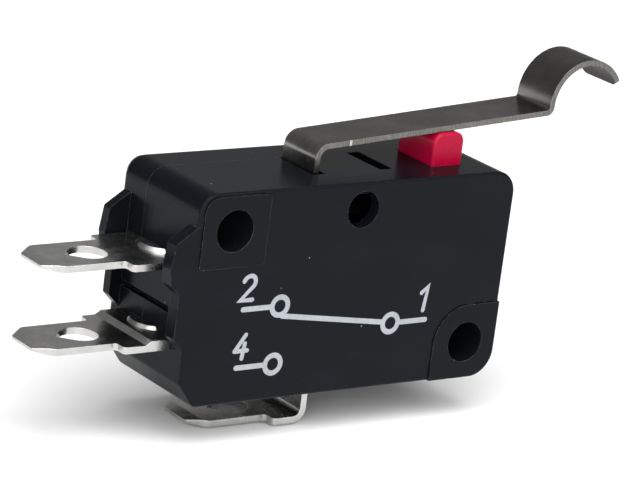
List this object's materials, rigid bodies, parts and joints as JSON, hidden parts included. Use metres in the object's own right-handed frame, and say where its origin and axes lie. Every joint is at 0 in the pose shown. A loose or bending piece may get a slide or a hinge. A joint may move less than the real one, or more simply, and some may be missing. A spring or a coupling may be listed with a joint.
{
  "type": "micro switch",
  "caption": "Snap-action micro switch in a black moulded case with a hinged bent-tip lever, a red plunger, two fixing holes and flat push-on tabs.",
  "frame": {"origin": "middle of the lower fixing hole, halfway through the case", "axes": "+X along the case away from the side tabs, +Y through the case from the printed face to the back, +Z towards the lever"},
  "size_m": [0.0495, 0.0104, 0.026],
  "materials": {
    "cover_plastic": "satin moulded thermoplastic",
    "housing_plastic": "satin moulded thermoplastic",
    "plunger_plastic": "smooth moulded",
    "rocker_plastic": "natural moulded",
    "lever_steel": "rolled stainless strip",
    "tab_metal": "tin-plated, satin",
    "bracket_brass": "bare stamped",
    "blade_copper": "rolled spring copper alloy",
    "contact_silver": "silver alloy",
    "spring_steel": "drawn wire"
  },
  "bodies": {
    "case": {"cover": "cover_plastic", "housing": "housing_plastic", "nc_terminal": "tab_metal", "nc_contact": "contact_silver", "no_terminal": "tab_metal", "no_contact": "contact_silver", "com_terminal": "tab_metal", "blade_bracket": "bracket_brass", "com_rivet": "bracket_brass"},
    "lever": {"lever": "lever_steel"},
    "plunger": {"plunger": "plunger_plastic"},
    "rocker": {"rocker": "rocker_plastic"},
    "blade": {"moving_blade": "blade_copper", "moving_contact": "contact_silver"},
    "spring": {"snap_spring": "spring_steel"}
  },
  "joints": [
    {"name": "lever_hinge", "type": "hinge", "parent": "case", "child": "lever", "pos_m": [-0.01362, -0.0003, 0.0111], "axis": [0, 1, 0], "range_deg": [0, 8.5], "stiffness_Nm_per_rad": 0.03, "springref_deg": -14.32},
    {"name": "plunger_slide", "type": "slide", "parent": "case", "child": "plunger", "axis": [0, 0, -1], "range_m": [0, 0.00172]},
    {"name": "rocker_hinge", "type": "hinge", "parent": "case", "child": "rocker", "pos_m": [-0.0106, 0, 0.0048], "axis": [0, 1, 0], "range_deg": [0, 11.3]},
    {"name": "blade_hinge", "type": "hinge", "parent": "case", "child": "blade", "pos_m": [-0.012, 0, 0.00557], "axis": [0, -1, 0], "range_deg": [0, 4.61]},
    {"name": "spring_hinge", "type": "hinge", "parent": "blade", "child": "spring", "pos_m": [-0.01536, 0, 0.00557], "axis": [0, 1, 0], "range_deg": [0, 8.45]}
  ],
  "couplings": [
    {"joint": "plunger_slide", "follows": "lever_hinge", "m_per_rad": 0.0115},
    {"joint": "rocker_hinge", "follows": "lever_hinge", "ratio": 1.323},
    {"joint": "blade_hinge", "follows": "lever_hinge", "ratio": 0.541},
    {"joint": "spring_hinge", "follows": "lever_hinge", "ratio": 0.991}
  ]
}
